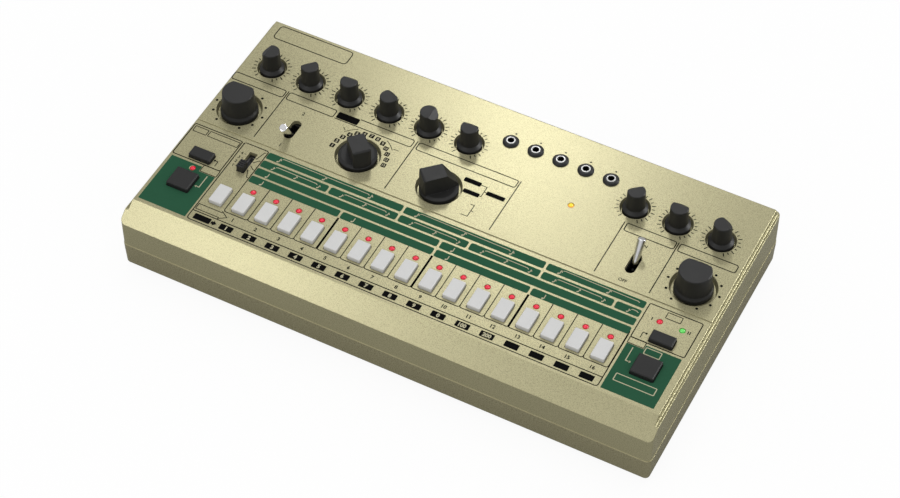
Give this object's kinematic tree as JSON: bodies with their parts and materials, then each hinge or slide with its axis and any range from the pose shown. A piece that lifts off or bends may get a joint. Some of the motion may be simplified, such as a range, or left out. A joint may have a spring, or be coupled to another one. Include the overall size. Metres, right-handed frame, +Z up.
{
  "type": "desktop drum machine",
  "caption": "Desktop analogue drum machine with rotary controls, selectors, toggles, step keys with lamps, output jacks and a two-part sloped-front case.",
  "frame": {"origin": "on the table, under the middle of the case", "axes": "+X to the user's right along the row of keys, +Y to the rear, +Z up"},
  "size_m": [0.3032, 0.1616, 0.0556],
  "materials": {
    "shell_paint": "champagne metallic paint, satin",
    "lower_shell_paint": "darker champagne metallic paint, satin",
    "feet_rubber": "matt",
    "screw_steel": "zinc plated",
    "circuit_board": "solder mask on laminate",
    "control_metal": "satin",
    "socket_plastic": "fine texture",
    "red_lens": "tinted, polished",
    "green_lens": "tinted, polished",
    "amber_lens": "tinted, polished",
    "nickel": "nickel plated",
    "ribbon_grey": "satin insulation",
    "lever_chrome": "polished",
    "knob_plastic": "satin black",
    "button_plastic": "satin black",
    "key_plastic": "satin pale grey"
  },
  "bodies": {
    "case": {"top_shell": "shell_paint", "bottom_shell": "lower_shell_paint", "rubber_feet": "feet_rubber", "screws": "screw_steel", "panel_board": "circuit_board", "main_board": "circuit_board", "potentiometers": "control_metal", "rotary_switches": "control_metal", "toggle_switch_bodies": "socket_plastic", "scale_switch_body": "control_metal", "key_switches": "socket_plastic", "red_leds": "red_lens", "green_led": "green_lens", "amber_led": "amber_lens", "voice_jacks": "nickel", "jack_nuts": "socket_plastic", "output_jacks": "socket_plastic", "midi_sockets": "socket_plastic", "usb_socket": "nickel", "dc_inlet": "socket_plastic", "power_switch_frame": "socket_plastic", "ribbon_cable": "ribbon_grey"},
    "small_knob_1": {"small_knob_1": "knob_plastic"},
    "small_knob_2": {"small_knob_2": "knob_plastic"},
    "small_knob_3": {"small_knob_3": "knob_plastic"},
    "small_knob_4": {"small_knob_4": "knob_plastic"},
    "small_knob_5": {"small_knob_5": "knob_plastic"},
    "small_knob_6": {"small_knob_6": "knob_plastic"},
    "small_knob_7": {"small_knob_7": "knob_plastic"},
    "small_knob_8": {"small_knob_8": "knob_plastic"},
    "small_knob_9": {"small_knob_9": "knob_plastic"},
    "tempo_knob": {"tempo_knob": "knob_plastic"},
    "volume_knob": {"volume_knob": "knob_plastic"},
    "instrument_selector": {"instrument_selector": "knob_plastic"},
    "mode_selector": {"mode_selector": "knob_plastic"},
    "variant_toggle": {"variant_toggle": "lever_chrome"},
    "distortion_toggle": {"distortion_toggle": "lever_chrome"},
    "scale_slider": {"scale_slider": "button_plastic"},
    "start_button": {"start_button": "button_plastic"},
    "tap_button": {"tap_button": "button_plastic"},
    "clear_button": {"clear_button": "button_plastic"},
    "group_button": {"group_button": "button_plastic"},
    "function_key": {"function_key": "key_plastic"},
    "step_key_01": {"step_key_01": "key_plastic"},
    "step_key_02": {"step_key_02": "key_plastic"},
    "step_key_03": {"step_key_03": "key_plastic"},
    "step_key_04": {"step_key_04": "key_plastic"},
    "step_key_05": {"step_key_05": "key_plastic"},
    "step_key_06": {"step_key_06": "key_plastic"},
    "step_key_07": {"step_key_07": "key_plastic"},
    "step_key_08": {"step_key_08": "key_plastic"},
    "step_key_09": {"step_key_09": "key_plastic"},
    "step_key_10": {"step_key_10": "key_plastic"},
    "step_key_11": {"step_key_11": "key_plastic"},
    "step_key_12": {"step_key_12": "key_plastic"},
    "step_key_13": {"step_key_13": "key_plastic"},
    "step_key_14": {"step_key_14": "key_plastic"},
    "step_key_15": {"step_key_15": "key_plastic"},
    "step_key_16": {"step_key_16": "key_plastic"},
    "power_rocker": {"power_rocker": "button_plastic"}
  },
  "joints": [
    {"name": "small_knob_1_turn", "type": "hinge", "parent": "case", "child": "small_knob_1", "pos_m": [-0.13315, 0.04612, 0.0423], "axis": [0, 0, 1], "range_deg": [-240, 60]},
    {"name": "small_knob_2_turn", "type": "hinge", "parent": "case", "child": "small_knob_2", "pos_m": [-0.10905, 0.04612, 0.0423], "axis": [0, 0, 1], "range_deg": [-198, 102]},
    {"name": "small_knob_3_turn", "type": "hinge", "parent": "case", "child": "small_knob_3", "pos_m": [-0.08495, 0.04612, 0.0423], "axis": [0, 0, 1], "range_deg": [-150, 150]},
    {"name": "small_knob_4_turn", "type": "hinge", "parent": "case", "child": "small_knob_4", "pos_m": [-0.06085, 0.04612, 0.0423], "axis": [0, 0, 1], "range_deg": [-114, 186]},
    {"name": "small_knob_5_turn", "type": "hinge", "parent": "case", "child": "small_knob_5", "pos_m": [-0.03675, 0.04612, 0.0423], "axis": [0, 0, 1], "range_deg": [-60, 240]},
    {"name": "small_knob_6_turn", "type": "hinge", "parent": "case", "child": "small_knob_6", "pos_m": [-0.01265, 0.04612, 0.0423], "axis": [0, 0, 1], "range_deg": [-150, 150]},
    {"name": "small_knob_7_turn", "type": "hinge", "parent": "case", "child": "small_knob_7", "pos_m": [0.08375, 0.04612, 0.0423], "axis": [0, 0, 1], "range_deg": [-195, 105]},
    {"name": "small_knob_8_turn", "type": "hinge", "parent": "case", "child": "small_knob_8", "pos_m": [0.10785, 0.04612, 0.0423], "axis": [0, 0, 1], "range_deg": [-150, 150]},
    {"name": "small_knob_9_turn", "type": "hinge", "parent": "case", "child": "small_knob_9", "pos_m": [0.13195, 0.04612, 0.0423], "axis": [0, 0, 1], "range_deg": [-109, 191]},
    {"name": "tempo_knob_turn", "type": "hinge", "parent": "case", "child": "tempo_knob", "pos_m": [-0.13315, 0.0115, 0.0423], "axis": [0, 0, 1], "range_deg": [-150, 150]},
    {"name": "volume_knob_turn", "type": "hinge", "parent": "case", "child": "volume_knob", "pos_m": [0.13195, 0.0115, 0.0423], "axis": [0, 0, 1], "range_deg": [-150, 150]},
    {"name": "instrument_selector_turn", "type": "hinge", "parent": "case", "child": "instrument_selector", "pos_m": [-0.06085, 0.0115, 0.0423], "axis": [0, 0, 1], "range_deg": [-135, 45]},
    {"name": "mode_selector_turn", "type": "hinge", "parent": "case", "child": "mode_selector", "pos_m": [-0.01265, 0.0115, 0.0423], "axis": [0, 0, 1], "range_deg": [-90, 0]},
    {"name": "variant_toggle_throw", "type": "hinge", "parent": "case", "child": "variant_toggle", "pos_m": [-0.10045, 0.0115, 0.0368], "axis": [1, 0, 0], "range_deg": [-60, 0]},
    {"name": "distortion_toggle_throw", "type": "hinge", "parent": "case", "child": "distortion_toggle", "pos_m": [0.09874, 0.0115, 0.0368], "axis": [1, 0, 0], "range_deg": [0, 60]},
    {"name": "scale_slider_slide", "type": "slide", "parent": "case", "child": "scale_slider", "axis": [0, 1, 0], "range_m": [0, 0.0096]},
    {"name": "start_button_press", "type": "slide", "parent": "case", "child": "start_button", "axis": [0, 0, -1], "range_m": [0, 0.0008], "stiffness_N_per_m": 400, "springref_m": -0.001},
    {"name": "tap_button_press", "type": "slide", "parent": "case", "child": "tap_button", "axis": [0, 0, -1], "range_m": [0, 0.0008], "stiffness_N_per_m": 400, "springref_m": -0.001},
    {"name": "clear_button_press", "type": "slide", "parent": "case", "child": "clear_button", "axis": [0, 0, -1], "range_m": [0, 0.0008], "stiffness_N_per_m": 400, "springref_m": -0.001},
    {"name": "group_button_press", "type": "slide", "parent": "case", "child": "group_button", "axis": [0, 0, -1], "range_m": [0, 0.0008], "stiffness_N_per_m": 400, "springref_m": -0.001},
    {"name": "function_key_press", "type": "slide", "parent": "case", "child": "function_key", "axis": [0, 0, -1], "range_m": [0, 0.0008], "stiffness_N_per_m": 400, "springref_m": -0.001},
    {"name": "step_key_01_press", "type": "slide", "parent": "case", "child": "step_key_01", "axis": [0, 0, -1], "range_m": [0, 0.0008], "stiffness_N_per_m": 400, "springref_m": -0.001},
    {"name": "step_key_02_press", "type": "slide", "parent": "case", "child": "step_key_02", "axis": [0, 0, -1], "range_m": [0, 0.0008], "stiffness_N_per_m": 400, "springref_m": -0.001},
    {"name": "step_key_03_press", "type": "slide", "parent": "case", "child": "step_key_03", "axis": [0, 0, -1], "range_m": [0, 0.0008], "stiffness_N_per_m": 400, "springref_m": -0.001},
    {"name": "step_key_04_press", "type": "slide", "parent": "case", "child": "step_key_04", "axis": [0, 0, -1], "range_m": [0, 0.0008], "stiffness_N_per_m": 400, "springref_m": -0.001},
    {"name": "step_key_05_press", "type": "slide", "parent": "case", "child": "step_key_05", "axis": [0, 0, -1], "range_m": [0, 0.0008], "stiffness_N_per_m": 400, "springref_m": -0.001},
    {"name": "step_key_06_press", "type": "slide", "parent": "case", "child": "step_key_06", "axis": [0, 0, -1], "range_m": [0, 0.0008], "stiffness_N_per_m": 400, "springref_m": -0.001},
    {"name": "step_key_07_press", "type": "slide", "parent": "case", "child": "step_key_07", "axis": [0, 0, -1], "range_m": [0, 0.0008], "stiffness_N_per_m": 400, "springref_m": -0.001},
    {"name": "step_key_08_press", "type": "slide", "parent": "case", "child": "step_key_08", "axis": [0, 0, -1], "range_m": [0, 0.0008], "stiffness_N_per_m": 400, "springref_m": -0.001},
    {"name": "step_key_09_press", "type": "slide", "parent": "case", "child": "step_key_09", "axis": [0, 0, -1], "range_m": [0, 0.0008], "stiffness_N_per_m": 400, "springref_m": -0.001},
    {"name": "step_key_10_press", "type": "slide", "parent": "case", "child": "step_key_10", "axis": [0, 0, -1], "range_m": [0, 0.0008], "stiffness_N_per_m": 400, "springref_m": -0.001},
    {"name": "step_key_11_press", "type": "slide", "parent": "case", "child": "step_key_11", "axis": [0, 0, -1], "range_m": [0, 0.0008], "stiffness_N_per_m": 400, "springref_m": -0.001},
    {"name": "step_key_12_press", "type": "slide", "parent": "case", "child": "step_key_12", "axis": [0, 0, -1], "range_m": [0, 0.0008], "stiffness_N_per_m": 400, "springref_m": -0.001},
    {"name": "step_key_13_press", "type": "slide", "parent": "case", "child": "step_key_13", "axis": [0, 0, -1], "range_m": [0, 0.0008], "stiffness_N_per_m": 400, "springref_m": -0.001},
    {"name": "step_key_14_press", "type": "slide", "parent": "case", "child": "step_key_14", "axis": [0, 0, -1], "range_m": [0, 0.0008], "stiffness_N_per_m": 400, "springref_m": -0.001},
    {"name": "step_key_15_press", "type": "slide", "parent": "case", "child": "step_key_15", "axis": [0, 0, -1], "range_m": [0, 0.0008], "stiffness_N_per_m": 400, "springref_m": -0.001},
    {"name": "step_key_16_press", "type": "slide", "parent": "case", "child": "step_key_16", "axis": [0, 0, -1], "range_m": [0, 0.0008], "stiffness_N_per_m": 400, "springref_m": -0.001},
    {"name": "power_rocker_tip", "type": "hinge", "parent": "case", "child": "power_rocker", "pos_m": [0.12128, 0.0777, 0.0286], "axis": [0, 0, 1], "range_deg": [-16, 0]}
  ]
}
